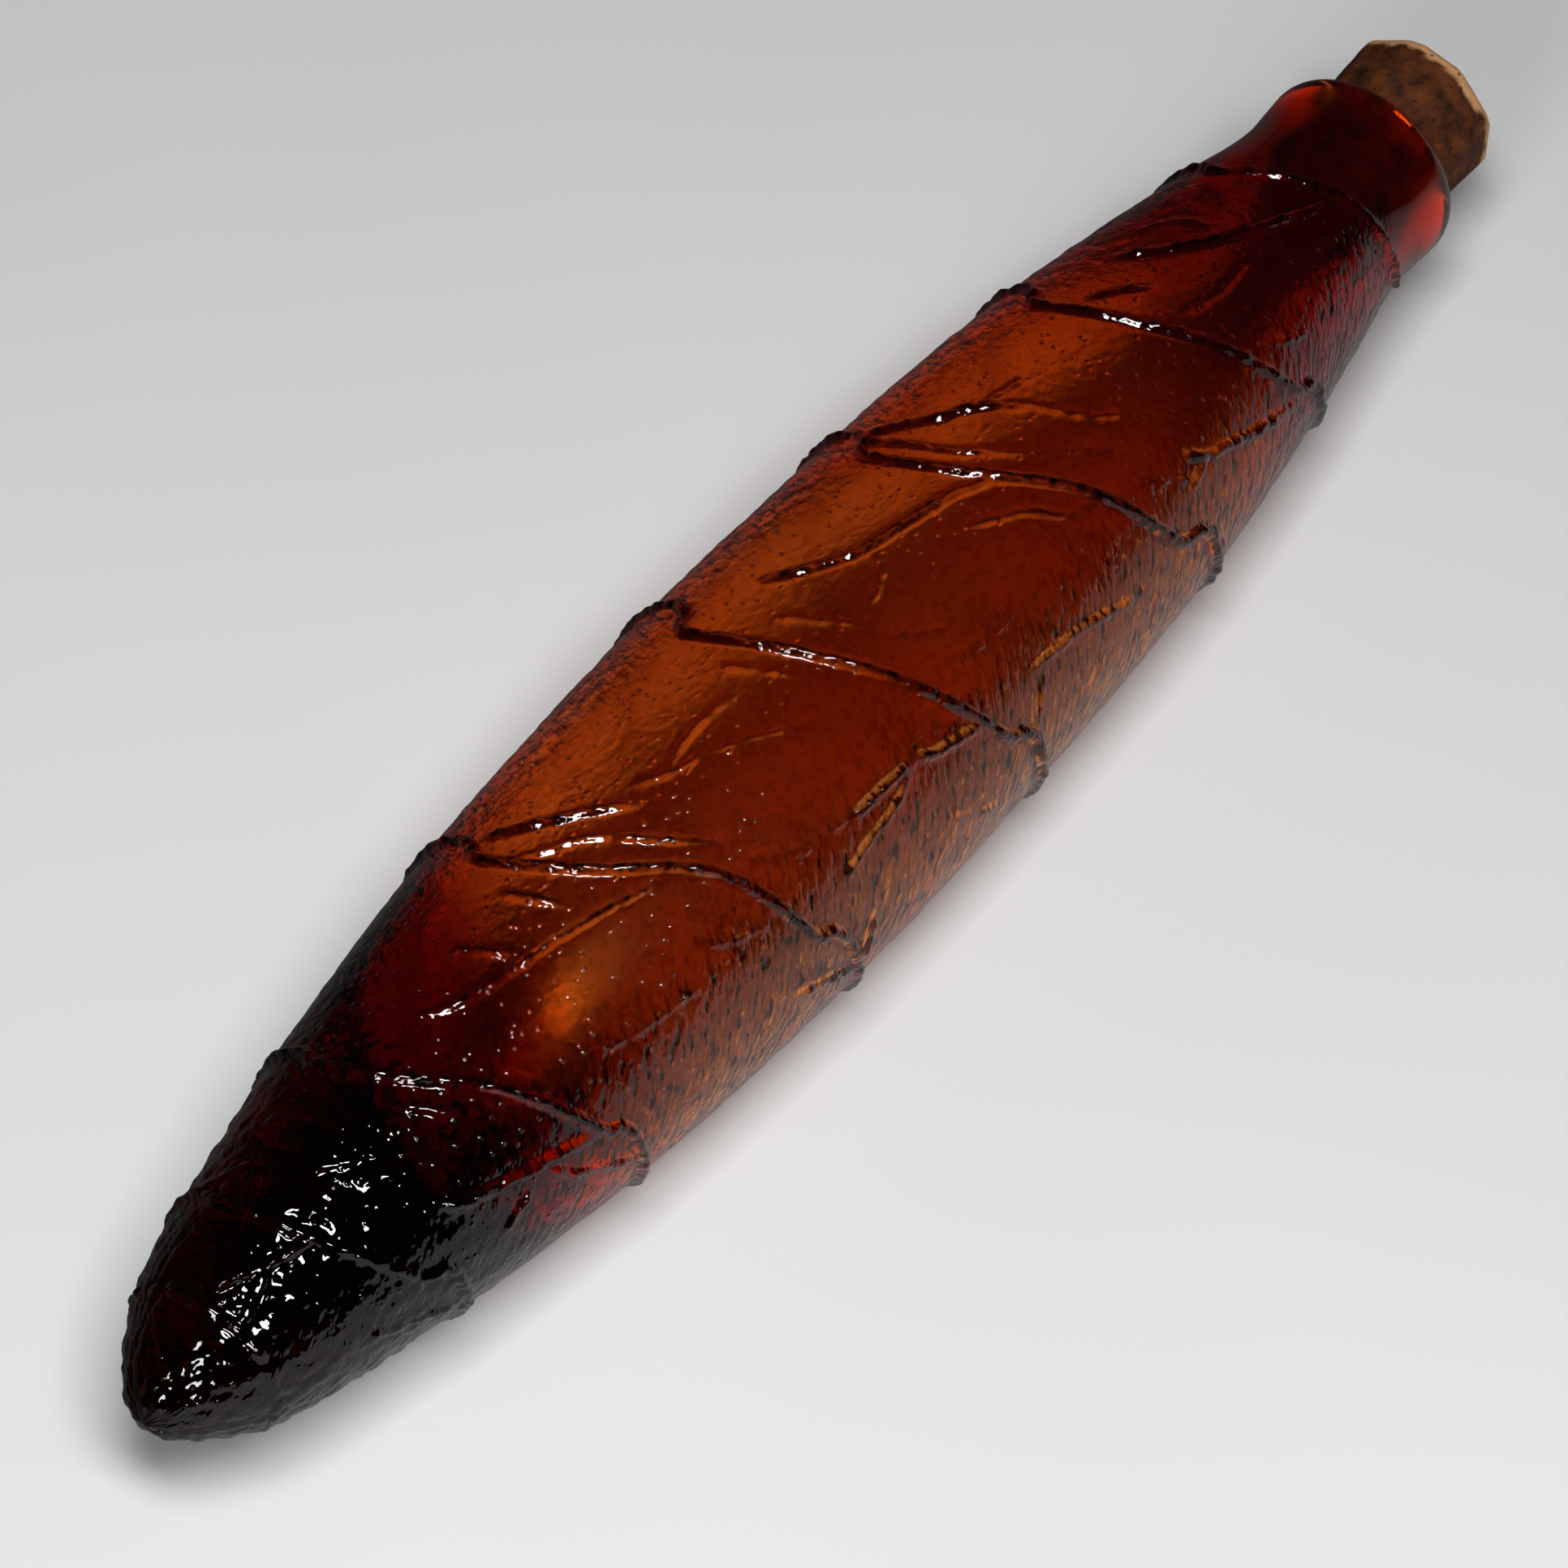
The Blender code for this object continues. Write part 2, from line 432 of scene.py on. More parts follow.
@dataclass(frozen=True)
class MouldBlownAmberGlass:
    """Iron-and-sulphur amber soda-lime glass, blown in a mould.

    Thin walls read orange brown and thick glass goes through deep red to black, which comes partly
    from the absorption in the volume and partly from shade painted into the tint. The mould leaves
    a faintly rippled skin with a full gloss.
    """

    surface_tint: str = "FFF4E6"
    # Painted shade: the tint that darkens the ribs, the pits, the mottle and the thick glass
    painted_shade: str = "1C0A05"
    depth_colour: tuple[float, float, float, float] = (0.990, 0.575, 0.0, 1.0)
    depth_density: float = 1500.0
    index: float = 1.52
    pimple_gap: float = 0.85
    pimple_radius: float = 0.25
    pimple_height: float = 0.055
    ripple_gap: float = 0.72
    ripple_height: float = 0.050
    wrinkle_size: tuple[float, float] = (1.6, 0.52)
    wrinkle_height: float = 0.14
    inside_haze: float = 0.22

    def material(self) -> bpy.types.Material:
        """Build the glass.

        Returns:
            The material. It is pimpled where the "skin" attribute is one, wrinkled where
            "wrinkled" is one, painted darkest where "shaded" is one, and hazy where "inside" is
            one. Its tint carries painted shade along the ribs, in the folds' pits and in a mottle
            of the ripples.
        """
        material, tree, output = new_material("mould_blown_amber_glass")
        place = add_node(tree, "TexCoord").outputs["Object"]
        skin = add_node(tree, "Attribute", attribute_name="skin").outputs["Fac"]
        cells = add_node(tree, "TexVoronoi", {"Vector": place,
                                              "Scale": 1 / (self.pimple_gap * MM)})
        dome = add_node(tree, "MapRange", {
            "Value": cells.outputs["Distance"], "From Min": 0.0,
            "From Max": self.pimple_radius / self.pimple_gap, "To Min": self.pimple_height,
            "To Max": 0.0}, interpolation_type="SMOOTHSTEP")
        ripple = add_node(tree, "TexNoise", {"Vector": place, "Scale": 1 / (self.ripple_gap * MM),
                                             "Detail": 1.0})
        relief = add_node(tree, "Math", {0: ripple.outputs["Fac"], 1: self.ripple_height,
                                         2: dome.outputs["Result"]}, operation="MULTIPLY_ADD")
        masked = add_node(tree, "Math", {0: relief.outputs[0], 1: skin}, operation="MULTIPLY")
        lay = add_node(tree, "Attribute", attribute_name="lay").outputs["Vector"]
        length, width = self.wrinkle_size
        stretched = add_node(tree, "Mapping", {"Vector": lay,
                                               "Scale": (1 / length, 1 / width, 1.0)})
        folds = add_node(tree, "TexNoise", {"Vector": stretched.outputs["Vector"], "Scale": 1.0,
                                            "Detail": 1.0})
        wrinkled = add_node(tree, "Attribute", attribute_name="wrinkled").outputs["Fac"]
        fold = add_node(tree, "Math", {0: folds.outputs["Fac"], 1: self.wrinkle_height},
                        operation="MULTIPLY")
        height = add_node(tree, "Math", {0: fold.outputs[0], 1: wrinkled, 2: masked.outputs[0]},
                          operation="MULTIPLY_ADD")
        bump = add_node(tree, "Bump", {"Height": height.outputs[0], "Strength": 1.0,
                                       "Distance": MM})
        # Painted shade: the tint is darkened along the ribs, in the folds' pits and where the glass
        # is thick, standing in for the dark that refraction and thick glass show
        shaded = add_node(tree, "Attribute", attribute_name="shaded").outputs["Fac"]
        fold_pit_shade = add_node(tree, "MapRange", {"Value": folds.outputs["Fac"], "From Min": 0.46,
                                           "From Max": 0.37, "To Min": 0.0, "To Max": 0.92})
        crease_and_depth_shade = add_node(tree, "Math", {0: fold_pit_shade.outputs["Result"], 1: wrinkled, 2: shaded},
                          operation="MULTIPLY_ADD")
        # Painted shade: low spots of the ripples darken the tint in a mottle, standing in for what
        # refraction through the rippled skin shows
        mottle = add_node(tree, "MapRange", {"Value": ripple.outputs["Fac"], "From Min": 0.50,
                                             "From Max": 0.36, "To Min": 0.0, "To Max": 0.20})
        painted_shade_share = add_node(tree, "Math", {0: mottle.outputs["Result"], 1: skin,
                                         2: crease_and_depth_shade.outputs[0]}, operation="MULTIPLY_ADD",
                          use_clamp=True)
        tint = add_node(tree, "Mix", {"Factor": painted_shade_share.outputs[0], 6: linear(self.surface_tint),
                                      7: linear(self.painted_shade)}, data_type="RGBA")
        gloss = add_node(tree, "MapRange", {"Value": ripple.outputs["Fac"], "To Min": 0.004,
                                            "To Max": 0.024})
        inside = add_node(tree, "Attribute", attribute_name="inside").outputs["Fac"]
        rough = add_node(tree, "Math", {0: inside, 1: self.inside_haze,
                                        2: gloss.outputs["Result"]}, operation="MULTIPLY_ADD")
        glass = add_node(tree, "BsdfPrincipled", {
            "Base Color": tint.outputs[2], "Transmission Weight": 1.0,
            "IOR": self.index, "Roughness": rough.outputs[0],
            "Normal": bump.outputs["Normal"]})
        depth = add_node(tree, "VolumeAbsorption", {"Color": self.depth_colour,
                                                    "Density": self.depth_density})
        tree.links.new(glass.outputs["BSDF"], output.inputs["Surface"])
        tree.links.new(depth.outputs["Volume"], output.inputs["Volume"])
        return material


@dataclass(frozen=True)
class AgedCork:
    """Natural cork, whittled with a knife and browned by age.

    Handling has darkened the flats. The outer edge is rubbed back to paler cork, and dark pores
    run through the bark.
    """

    dark: str = "2C1406"
    brown: str = "653413"
    rubbed: str = "C08F62"
    pore: str = "1E120A"
    grain_mm: float = 1.6
    pore_mm: float = 0.75

    def material(self) -> bpy.types.Material:
        """Build the cork.

        Returns:
            The material, paler where the "rubbed" attribute is one.
        """
        material, tree, output = new_material("aged_whittled_cork")
        place = add_node(tree, "TexCoord").outputs["Object"]
        rubbed = add_node(tree, "Attribute", attribute_name="rubbed").outputs["Fac"]
        grain = add_node(tree, "TexNoise", {"Vector": place, "Scale": 1 / (self.grain_mm * MM),
                                            "Detail": 6.0, "Roughness": 0.62})
        spread = add_node(tree, "MapRange", {"Value": grain.outputs["Fac"], "From Min": 0.35,
                                             "From Max": 0.68})
        bark = add_node(tree, "Mix", {"Factor": spread.outputs["Result"], 6: linear(self.dark),
                                      7: linear(self.brown)}, data_type="RGBA")
        worn = add_node(tree, "Mix", {"Factor": rubbed, 6: bark.outputs[2],
                                      7: linear(self.rubbed)}, data_type="RGBA")
        cells = add_node(tree, "TexVoronoi", {"Vector": place, "Scale": 1 / (self.pore_mm * MM)})
        pores = add_node(tree, "MapRange", {"Value": cells.outputs["Distance"], "From Min": 0.10,
                                            "From Max": 0.24, "To Min": 0.75, "To Max": 0.0})
        colour = add_node(tree, "Mix", {"Factor": pores.outputs["Result"], 6: worn.outputs[2],
                                        7: linear(self.pore)}, data_type="RGBA")
        fine = add_node(tree, "TexNoise", {"Vector": place, "Scale": 1 / (0.35 * MM),
                                           "Detail": 4.0})
        height = add_node(tree, "Math", {0: fine.outputs["Fac"], 1: pores.outputs["Result"]},
                          operation="SUBTRACT")
        bump = add_node(tree, "Bump", {"Height": height.outputs[0], "Strength": 0.7,
                                       "Distance": 0.08 * MM})
        rough = add_node(tree, "MapRange", {"Value": grain.outputs["Fac"], "To Min": 0.62,
                                            "To Max": 0.9})
        cork = add_node(tree, "BsdfPrincipled", {
            "Base Color": colour.outputs[2], "Roughness": rough.outputs["Result"],
            "Specular IOR Level": 0.2, "Normal": bump.outputs["Normal"]})
        tree.links.new(cork.outputs["BSDF"], output.inputs["Surface"])
        return material


@dataclass(frozen=True)
class PaleCard:
    """Smooth white photographer's card: matt, very slightly warm, with a faint mottle."""

    light: str = "EDEDED"
    shade: str = "E4E5E6"
    reflection_shade: str = "0C0C0C"
    front_dim: float = 0.42
    back_dim: float = 0.93

    def material(self) -> bpy.types.Material:
        """Build the card, with its mottle on a 60 mm scale.

        Returns:
            The material. Mirrored in a glossy surface its colour is painted darker, most of all
            behind
            the bottle: painted shade in its reflections, in place of black flags and a polarising
                filter.
        """
        material, tree, output = new_material("pale_card")
        place = add_node(tree, "TexCoord").outputs["Object"]
        mottle = add_node(tree, "TexNoise", {"Vector": place, "Scale": 1 / 0.06, "Detail": 2.0})
        colour = add_node(tree, "Mix", {"Factor": mottle.outputs["Fac"], 6: linear(self.light),
                                        7: linear(self.shade)}, data_type="RGBA")
        # Painted shade: rays reflected off glossy surfaces see the card darkened towards a
        # near-black colour, most of all behind the bottle
        across = add_node(tree, "SeparateXYZ", {"Vector": place}).outputs["Y"]
        reflection_dim_share = add_node(tree, "MapRange", {"Value": across, "From Min": -20 * MM,
                                              "From Max": 15 * MM, "To Min": self.front_dim,
                                              "To Max": self.back_dim})
        ray = add_node(tree, "LightPath").outputs
        mirrored = add_node(tree, "Math", {0: ray["Is Glossy Ray"], 1: ray["Is Reflection Ray"]},
                            operation="MULTIPLY")
        dimmed = add_node(tree, "Math", {0: mirrored.outputs[0], 1: reflection_dim_share.outputs["Result"]},
                          operation="MULTIPLY")
        seen = add_node(tree, "Mix", {"Factor": dimmed.outputs[0], 6: colour.outputs[2],
                                      7: linear(self.reflection_shade)}, data_type="RGBA")
        card = add_node(tree, "BsdfPrincipled", {
            "Base Color": seen.outputs[2], "Roughness": 0.85, "Specular IOR Level": 0.2})
        tree.links.new(card.outputs["BSDF"], output.inputs["Surface"])
        return material


def place_mesh(shape: bmesh.types.BMesh, name: str,
               material: bpy.types.Material) -> bpy.types.Object:
    """Turn a finished bmesh into an object at the origin.

    Args:
        shape: the shape, already in its place in the frame. It is freed.
        name: the object's name.
        material: what it is made of.

    Returns:
        The new object, shaded smooth.
    """
    mesh = bpy.data.meshes.new(name)
    shape.to_mesh(mesh)
    shape.free()
    mesh.shade_smooth()
    mesh.materials.append(material)
    item = bpy.data.objects.new(name, mesh)
    bpy.context.scene.collection.objects.link(item)
    return item


def spin_profile(shape: bmesh.types.BMesh, corners: list[bmesh.types.BMVert], segments: int,
                 centre: Vector) -> None:
    """Turn a chain of vertices about the X axis into a closed skin.

    Args:
        shape: the bmesh that holds the chain.
        corners: the chain's vertices in order, with both ends on the axis.
        segments: how many faces go round.
        centre: a point on the axis.
    """
    edges = [shape.edges.new(pair) for pair in zip(corners, corners[1:])]
    bmesh.ops.spin(shape, geom=corners + edges, cent=centre, axis=(1, 0, 0), dvec=(0, 0, 0),
                   angle=math.tau, steps=segments, use_merge=True, use_duplicate=False)
    bmesh.ops.remove_doubles(shape, verts=shape.verts, dist=1e-7)
    bmesh.ops.recalc_face_normals(shape, faces=shape.faces)


@dataclass
class GlassBottle:
    """The one-piece blown bottle: relief outside, smooth cavity inside, rounded lip."""

    tip_x: float
    axis_z: float
    length: float
    bore: float = 5.4
    lip_radius: float = 7.6
    lip_round: float = 1.9
    segments: int = 192
    station_gap: float = 0.44
    cavity_gap: float = 2.6
    # Distance from the tip and radius of the plain glass under the relief
    outline: tuple[tuple[float, float], ...] = (
        (0.0, 0.0), (0.25, 1.15), (1.2, 2.5), (3.2, 4.2), (6.0, 5.85), (9.0, 6.95), (13.0, 7.9),
        (18.0, 8.9), (24.0, 10.1), (31.0, 11.2), (38.0, 12.1), (48.0, 12.9), (60.0, 13.4),
        (68.0, 13.45), (80.0, 13.15), (92.0, 12.65), (102.0, 11.85), (112.0, 10.45),
        (121.0, 8.9), (126.0, 7.8), (129.0, 7.4), (131.4, 7.5))
    cavity: tuple[tuple[float, float], ...] = (
        (24.0, 0.0), (24.4, 1.8), (26.5, 4.3), (30.5, 7.3), (35.5, 9.6), (41.5, 11.2),
        (49.0, 11.9), (60.0, 12.3), (72.0, 12.3), (82.0, 12.0), (92.0, 11.5), (102.0, 10.5),
        (110.0, 9.0), (116.0, 7.3), (121.5, 5.8), (124.5, 5.4))
    # The relief's lowest ground lies this far under the plain outline
    relief_sink: float = 0.1
    # The relief ends at the neck on a line that follows the wrapper's last turn
    neck_edge_angles: tuple[float, ...] = (-180, -25, 35, 100, 180)
    neck_edge: tuple[float, ...] = (124, 122.5, 126.5, 128, 126)
    # Painted shade along the raised lines is at its darkest on lines at least this high
    rib_shade_height: float = 0.36
    rib_shade_strength: float = 0.85
    # The cavity lies off its axis towards -Y: this far at the tip, and this far in the body
    cavity_shift: tuple[float, float] = (1.6, 0.4)
    swell_depth: float = 0.20
    swell_size: float = 14.0
    table_gap: float = 0.01
    table_softness: float = 0.02
    relief: LeafRelief = field(default_factory=LeafRelief)
    finish: MouldBlownAmberGlass = field(default_factory=MouldBlownAmberGlass)

    def even_stations(self, points: tuple[tuple[float, float], ...], gap: float) -> np.ndarray:
        """Sample a smooth outline at even distances along it.

        Args:
            points: the outline's corners, as distance from the tip and radius.
            gap: the distance between samples, in millimetres.

        Returns:
            One row for each sample, both ends among them.
        """
        curve = smooth_route(list(points), 12)
        run = np.concatenate([[0], np.cumsum(np.hypot(*np.diff(curve, axis=0).T))])
        at = np.linspace(0, run[-1], max(2, round(run[-1] / gap)) + 1)
        return np.stack([np.interp(at, run, curve[:, 0]), np.interp(at, run, curve[:, 1])], 1)

    def lip(self) -> list[tuple[float, float]]:
        """Round the lip from the neck's outside over the rim to the bore."""
        radius, width = self.lip_round, self.lip_radius - self.bore
        outer = [(self.length - radius + radius * math.sin(a),
                  self.lip_radius - radius + radius * math.cos(a))
                 for a in (math.pi / 2 * k / 8 for k in range(9))]
        inner_round = width - radius
        inner = [(self.length - inner_round + inner_round * math.cos(a),
                  self.bore + inner_round - inner_round * math.sin(a))
                 for a in (math.pi / 2 * k / 3 for k in range(1, 4))]
        bore = [(self.length - k, self.bore) for k in (1.5, 3.5, 6.0, 8.5)]
        return outer + inner + bore

    def build(self) -> bpy.types.Object:
        """Spin the glass, raise its relief and give it its finish.

        Returns:
            The bottle, as one closed mesh.
        """
        outside = self.even_stations(self.outline, self.station_gap)
        inside = self.even_stations(self.cavity, self.cavity_gap)[::-1]
        section = [*outside, *self.lip(), *inside]
        shape = bmesh.new()
        layers = [shape.verts.layers.float.new(name) for name in ("skin", "inside")]
        corners = []
        for count, (x, radius) in enumerate(section):
            corner = shape.verts.new(((self.tip_x + x) * MM, 0, (self.axis_z + radius) * MM))
            corner[layers[0]] = 1.0 if count < len(outside) else 0.0
            corner[layers[1]] = 1.0 if count >= len(section) - len(inside) - 4 else 0.0
            corners.append(corner)
        spin_profile(shape, corners, self.segments, Vector((0, 0, self.axis_z)) * MM)
        self.refine_lines(shape, layers[0])
        bottle = place_mesh(shape, "bottle_glass", self.finish.material())
        self.raise_relief(bottle.data)
        return bottle

    def refine_lines(self, shape: bmesh.types.BMesh, skin: object) -> None:
        """Halve the mesh's edges where raised lines run, so that they come out crisp.

        Args:
            shape: the spun glass.
            skin: the float layer that is one on the outer skin.
        """
        shape.verts.index_update()
        places = np.array([corner.co for corner in shape.verts]) / MM
        outer = np.array([corner[skin] for corner in shape.verts]) > 0.5
        along = places[:, 0] - self.tip_x
        angle = np.degrees(np.arctan2(-places[:, 1], places[:, 2] - self.axis_z))
        radius = np.hypot(places[:, 1], places[:, 2] - self.axis_z)
        close = (self.relief.lines(along, angle, radius, spread=1.55) > 0.045) & outer
        edges = [edge for edge in shape.edges
                 if close[edge.verts[0].index] or close[edge.verts[1].index]]
        bmesh.ops.subdivide_edges(shape, edges=edges, cuts=1, use_grid_fill=True)

    def raise_relief(self, mesh: bpy.types.Mesh) -> None:
        """Move the outer skin out by the relief, and the cavity a little off its axis.

        Args:
            mesh: the spun glass, with its "skin" and "inside" attributes.
        """
        count = len(mesh.vertices)
        places, normals = np.empty(count * 3, np.float32), np.empty(count * 3, np.float32)
        mesh.vertices.foreach_get("co", places)
        mesh.vertices.foreach_get("normal", normals)
        places = places.reshape(-1, 3).astype(float) / MM
        normals = normals.reshape(-1, 3).astype(float)
        skin, inside = np.empty(count, np.float32), np.empty(count, np.float32)
        mesh.attributes["skin"].data.foreach_get("value", skin)
        mesh.attributes["inside"].data.foreach_get("value", inside)
        along = places[:, 0] - self.tip_x
        angle = np.degrees(np.arctan2(-places[:, 1], places[:, 2] - self.axis_z))
        radius = np.hypot(places[:, 1], places[:, 2] - self.axis_z)

        outer = np.flatnonzero(skin > 0.5)
        edge = np.interp(angle[outer], self.neck_edge_angles, self.neck_edge)
        textured = ramp(along[outer], edge + 0.8, edge - 1.2)
        height, line = self.relief.heights(places[outer], along[outer], angle[outer],
                                           radius[outer])
        places[outer] += normals[outer] * (textured * (height - self.relief_sink))[:, None]
        skin[outer] = textured * self.relief.coarseness(along[outer])
        shaded = np.zeros(count, np.float32)
        # Painted shade: the tint darkens along the raised lines and where the glass is thick
        rib_shade = textured * np.clip(line / self.rib_shade_height, 0, 1) * self.rib_shade_strength
        shaded[outer] = np.maximum(rib_shade, self.relief.depth_shade_share(along[outer], angle[outer]))

        inner = np.flatnonzero(inside > 0.5)
        places[inner] = self.shift_cavity(places[inner], normals[inner], along[inner],
                                          radius[inner])

        # Nothing goes through the table: low points flatten out softly just above it
        rise = np.sqrt(places[:, 2] ** 2 + self.table_softness)
        places[:, 2] = self.table_gap + (places[:, 2] + rise) / 2
        mesh.vertices.foreach_set("co", (places * MM).astype(np.float32).ravel())
        mesh.attributes["skin"].data.foreach_set("value", skin)
        wrinkled = (np.minimum(skin, 1) * self.relief.wrinkle_share(along, angle)
                    ).astype(np.float32)
        mesh.attributes.new("wrinkled", "FLOAT", "POINT").data.foreach_set("value", wrinkled)
        mesh.attributes.new("shaded", "FLOAT", "POINT").data.foreach_set("value", shaded)
        lay = np.stack([*self.relief.lay(along, angle), np.zeros(count)], 1).astype(np.float32)
        mesh.attributes.new("lay", "FLOAT_VECTOR", "POINT").data.foreach_set("vector", lay.ravel())
        mesh.update()

    def shift_cavity(self, places: np.ndarray, normals: np.ndarray, along: np.ndarray,
                     radius: np.ndarray) -> np.ndarray:
        """Let the blown cavity stray from a plain round one on the axis.

        Args:
            places: each inner point's position, in millimetres.
            normals: the mesh's normal at each point.
            along: each point's distance from the tip, in millimetres.
            radius: each point's distance from the axis, in millimetres.

        Returns:
            Each point's new position. The straight bore stays where it is.
        """
        tip_shift, body_shift = self.cavity_shift
        moved = places.copy()
        moved[:, 1] -= tip_shift * ramp(along, 44, 24) + body_shift * ramp(along, 118, 106)
        swell = np.array([noise.noise(Vector(place) / self.swell_size) for place in moved])
        return moved + normals * (self.swell_depth * swell * ramp(radius, self.bore, 8))[:, None]


@dataclass
class WhittledCork:
    """Tapered stopper, pared to flats by hand outside the mouth and round inside it."""

    mouth_x: float
    end_x: float
    axis_z: float
    seat_depth: float = 9.0
    mouth_radius: float = 5.22
    taper: float = 0.04
    flare: float = 0.40
    edge_bevel: float = 0.75
    rubbed_width: float = 1.12
    grain_relief: float = 0.007
    # Direction of each pared flat in degrees from the top, and how deep it is cut
    flats: tuple[tuple[float, float], ...] = (
        (-78, 0.20), (-32, 0.24), (12, 0.18), (50, 0.30), (92, 0.22), (136, 0.25), (178, 0.2),
        (222, 0.24), (256, 0.2))
    finish: AgedCork = field(default_factory=AgedCork)

    def blank_radius(self, x: float) -> float:
        """Radius of the blank at a distance from the mouth: it swells where the neck ends."""
        return self.mouth_radius + self.taper * x + self.flare * float(ramp(x, 0.2, 3.0))

    def profile(self) -> list[tuple[float, float]]:
        """Section of the round blank, from the middle of its inner end to that of its outer.

        Returns:
            Distance from the mouth and radius, both in millimetres.
        """
        outer_end = self.end_x - self.mouth_x
        side_end = outer_end - self.edge_bevel * 0.9
        inner_radius = self.mouth_radius - self.taper * self.seat_depth
        inner_face = [(-self.seat_depth, inner_radius * k / 8) for k in range(8)]
        count = 56
        side = [(-self.seat_depth + 0.25 + (side_end + self.seat_depth - 0.25) * k / count, 0.0)
                for k in range(count + 1)]
        side = [(x, self.blank_radius(x)) for x, _ in side]
        last = side[-1][1]
        bevel = [(side_end + (outer_end - side_end) * k / 5,
                  last - self.edge_bevel * (k / 5) ** 1.3) for k in range(1, 6)]
        face = [(outer_end, bevel[-1][1] * (1 - k / 14)) for k in range(1, 15)]
        return inner_face + [(-self.seat_depth, inner_radius - 0.25)] + side + bevel + face

    def build(self) -> bpy.types.Object:
        """Turn the blank, pare its flats, wear its edge and give it its finish.

        Returns:
            The cork, as one closed mesh.
        """
        shape = bmesh.new()
        corners = [shape.verts.new(((self.mouth_x + x) * MM, 0, (self.axis_z + r) * MM))
                   for x, r in self.profile()]
        spin_profile(shape, corners, 168, Vector((0, 0, self.axis_z)) * MM)
        rubbed = shape.verts.layers.float.new("rubbed")
        for corner in shape.verts:
            self.pare(corner, rubbed)
        return place_mesh(shape, "cork_stopper", self.finish.material())

    def pare(self, corner: bmesh.types.BMVert, rubbed: object) -> None:
        """Cut one vertex back to the flats, roughen it and note how rubbed it is.

        Args:
            corner: a vertex of the blank.
            rubbed: the float layer that the finish reads.
        """
        x = corner.co.x / MM - self.mouth_x
        y, z = corner.co.y / MM, corner.co.z / MM - self.axis_z
        radius, angle = math.hypot(y, z), math.atan2(-y, z)
        full = self.blank_radius(x)
        outside = min(1.0, max(0.0, (x + 0.6) / 1.2))
        pared = full
        for degrees, depth in self.flats:
            facing = math.cos(angle - math.radians(degrees))
            if facing > 0.5:
                pared = min(pared, (full - depth * (0.35 + 0.65 * outside)) / facing)
        grain = noise.fractal(Vector((x, y, z)) / 1.7, 1.0, 2.0, 4)
        share = pared / full * (1 + self.grain_relief * grain)
        length = self.end_x - self.mouth_x
        wear = noise.noise(Vector((x, y, z)) / 1.1 + Vector((3, 5, 8)))
        edge = x - (length - self.rubbed_width) + 0.45 * wear
        outwards = min(1.0, max(0.0, (radius / full - 0.62 + 0.25 * wear) / 0.3))
        corner[rubbed] = min(1.0, max(0.0, 0.5 + edge / 0.22)) * (0.3 + 0.7 * outwards)
        bulge = 0.06 * noise.noise(Vector((y, z, 4.0)) / 1.5) if x > length - 0.05 else 0.0
        corner.co = Vector(((self.mouth_x + x - abs(bulge)) * MM, y * share * MM,
                            (self.axis_z + z * share) * MM))


@dataclass(frozen=True)
class Softbox:
    """One light panel: its place, its width along X, its length along Y and its radiance."""

    name: str
    place: tuple[float, float, float]
    width: float
    length: float
    radiance: float

    def hang(self, target: Vector) -> None:
        """Add the panel to the scene, facing the target.

        Args:
            target: the point that the panel faces.
        """
        lamp = bpy.data.lights.new(self.name, "AREA")
        lamp.shape = "RECTANGLE"
        lamp.size, lamp.size_y = self.width, self.length
        lamp.energy = self.radiance * math.pi * self.width * self.length
        item = bpy.data.objects.new(self.name, lamp)
        away = (Vector(self.place) - target).normalized()
        side = Vector((0, 1, 0)).cross(away).normalized()
        turn = Matrix((side, away.cross(side), away)).transposed()
        item.matrix_world = Matrix.Translation(self.place) @ turn.to_4x4()
        bpy.context.scene.collection.objects.link(item)


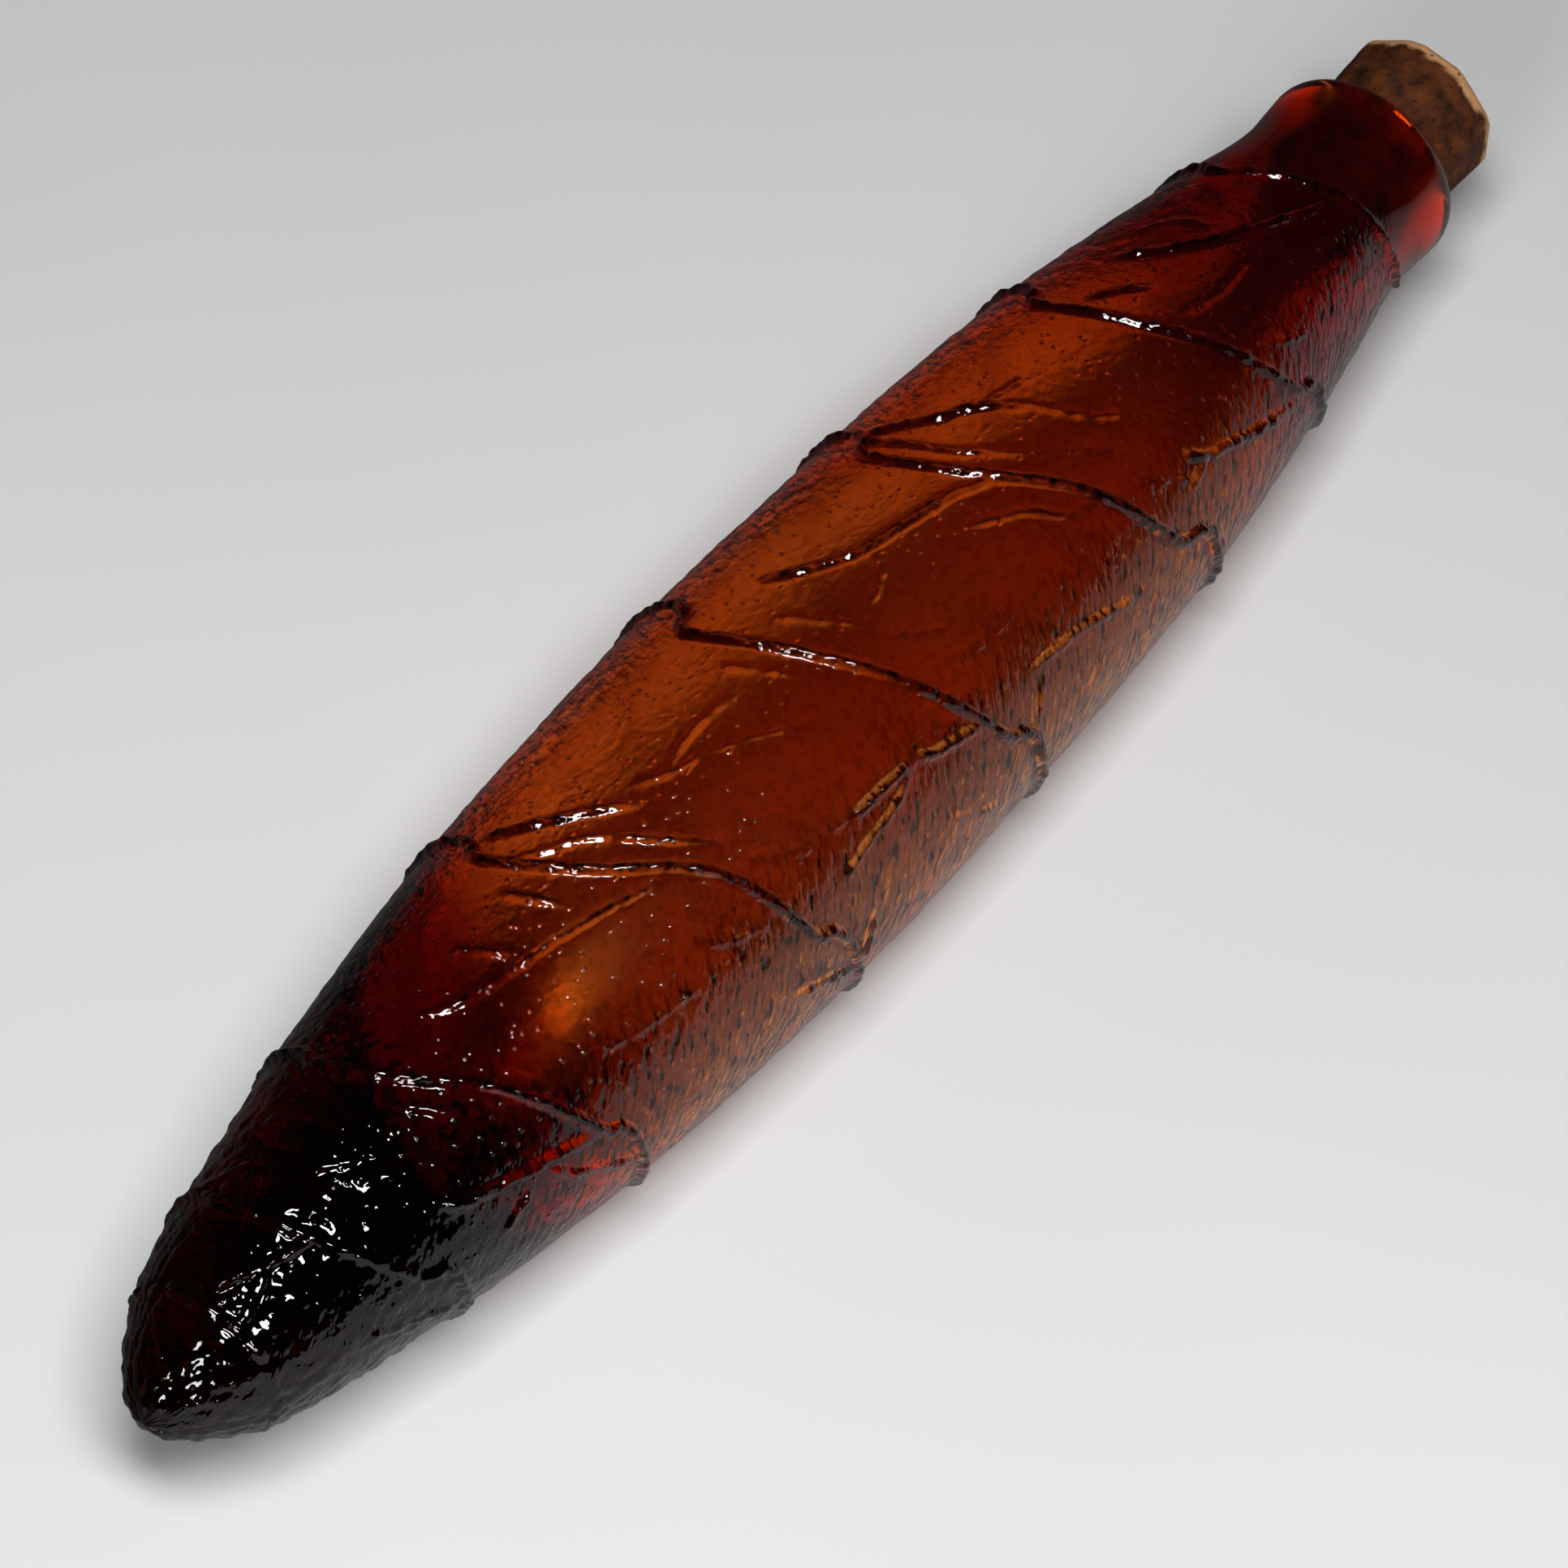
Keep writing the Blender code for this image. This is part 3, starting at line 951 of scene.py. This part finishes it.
@dataclass
class Studio:
    """Pale card, two softboxes and the camera."""

    tip: Vector
    # The camera and the lights face this point, measured from the tip
    aim: tuple[float, float, float] = (0.06445, -0.00115, 0.0)
    azimuth: float = -53.0
    elevation: float = 51.0
    distance: float = 0.5
    lens_mm: float = 174.0
    room_grey: float = 0.012
    card_half_width: float = 0.9
    card_drop: float = 0.00005
    softboxes: tuple[Softbox, ...] = (
        Softbox("softbox_overhead", (-0.165, -0.16, 0.44), 0.10, 0.22, 29.0),
        Softbox("softbox_tip_side", (-0.44, -0.14, 0.30), 0.12, 0.12, 18.0))

    def card(self) -> None:
        """Lay the card just under the bottle."""
        shape = bmesh.new()
        bmesh.ops.create_grid(shape, x_segments=1, y_segments=1, size=self.card_half_width)
        bmesh.ops.translate(shape, verts=shape.verts, vec=(0, 0, -self.card_drop))
        place_mesh(shape, "card", PaleCard().material())

    def lights(self) -> None:
        """Hang the softboxes, and fill the room with dim grey."""
        for softbox in self.softboxes:
            softbox.hang(self.tip + Vector(self.aim))
        world = bpy.data.worlds.new("room")
        world.use_nodes = True
        room = world.node_tree.nodes["Background"]
        room.inputs["Color"].default_value = (1, 1, 1, 1)
        room.inputs["Strength"].default_value = self.room_grey
        bpy.context.scene.world = world
        bpy.context.scene.view_settings.view_transform = "Standard"

    def camera(self) -> None:
        """Point the camera at the middle of the bottle from its front left."""
        turn, rise = math.radians(self.azimuth), math.radians(self.elevation)
        back = Vector((math.sin(turn) * math.cos(rise), -math.cos(turn) * math.cos(rise),
                       math.sin(rise)))
        data = bpy.data.cameras.new("camera")
        data.lens = self.lens_mm
        data.sensor_width = 36.0
        data.clip_start = 0.01
        item = bpy.data.objects.new("camera", data)
        item.location = self.tip + Vector(self.aim) + back * self.distance
        item.rotation_euler = (-back).to_track_quat("-Z", "Y").to_euler()
        bpy.context.scene.collection.objects.link(item)
        bpy.context.scene.camera = item

    def build(self) -> None:
        """Set up everything that isn't part of the object."""
        self.card()
        self.lights()
        self.camera()


def main() -> None:
    """Build the bottle, its cork and the studio round them."""
    logging.basicConfig(level=logging.INFO, format="%(asctime)s %(name)s: %(message)s")
    glass_low, glass_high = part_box("bottle")
    cork_low, cork_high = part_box("cork")
    axis_z = (glass_low.z + glass_high.z) / 2 / MM

    Studio(tip=Vector((glass_low.x, 0, axis_z * MM))).build()

    bottle = GlassBottle(tip_x=glass_low.x / MM, axis_z=axis_z,
                         length=(glass_high.x - glass_low.x) / MM).build()
    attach(bottle, "bottle")
    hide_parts("bottle")
    LOG.info("%s: %d triangles", bottle.name,
             sum(face.loop_total - 2 for face in bottle.data.polygons))

    cork = WhittledCork(mouth_x=glass_high.x / MM, end_x=cork_high.x / MM, axis_z=axis_z,
                        seat_depth=(glass_high.x - cork_low.x) / MM).build()
    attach(cork, "cork")
    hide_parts("cork")
    LOG.info("%s: %d faces", cork.name, len(cork.data.polygons))


if __name__ == "__main__":
    main()
